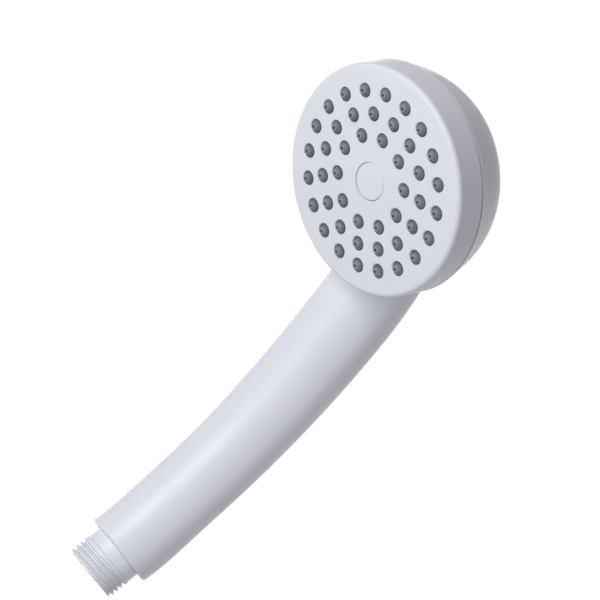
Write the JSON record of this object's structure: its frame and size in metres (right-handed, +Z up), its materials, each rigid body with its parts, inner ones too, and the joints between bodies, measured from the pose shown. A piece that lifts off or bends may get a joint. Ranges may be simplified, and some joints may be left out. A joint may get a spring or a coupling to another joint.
{
  "type": "handheld shower head",
  "caption": "One-spray handheld shower head with a curved hollow handle, round domed head, soft nozzles and a threaded hose inlet.",
  "frame": {"origin": "centre of the hose inlet's end face", "axes": "+Z runs up the inlet into the handle, -Y is the spray side, X = 0 halves the handle"},
  "size_m": [0.0754, 0.1264, 0.1876],
  "materials": {
    "white_abs": "satin moulded plastic",
    "grey_rubber": "matt silicone",
    "black_rubber": "matt rubber",
    "natural_plastic": "unpainted moulded acetal",
    "stainless": "bright stainless steel"
  },
  "bodies": {
    "handset": {"body_shell": "white_abs", "inlet_nipple": "white_abs", "nipple_seal": "black_rubber", "strainer_frame": "natural_plastic", "strainer_mesh": "stainless", "regulator_body": "natural_plastic", "regulator_ring": "black_rubber", "valve_housing": "natural_plastic", "valve_spring": "stainless", "water_tube": "natural_plastic", "tube_elbow": "natural_plastic", "elbow_screws": "stainless", "spigot_seal": "black_rubber"},
    "spray_face": {"front_cover": "white_abs", "nozzle_mat": "grey_rubber", "back_plate": "natural_plastic", "chamber_seal": "black_rubber", "centre_screw": "stainless", "centre_cap": "white_abs"},
    "check_valve": {"valve_poppet": "natural_plastic", "valve_seal": "black_rubber"}
  },
  "joints": [
    {"name": "face_twist", "type": "hinge", "parent": "handset", "child": "spray_face", "pos_m": [0, -0.0857, 0.1461], "axis": [0, -0.6613, -0.7501], "range_deg": [0, 30]},
    {"name": "valve_lift", "type": "slide", "parent": "handset", "child": "check_valve", "axis": [0, 0, 1], "range_m": [0, 0.0024], "stiffness_N_per_m": 120, "springref_m": -0.002, "deforming": ["valve_spring"]}
  ]
}
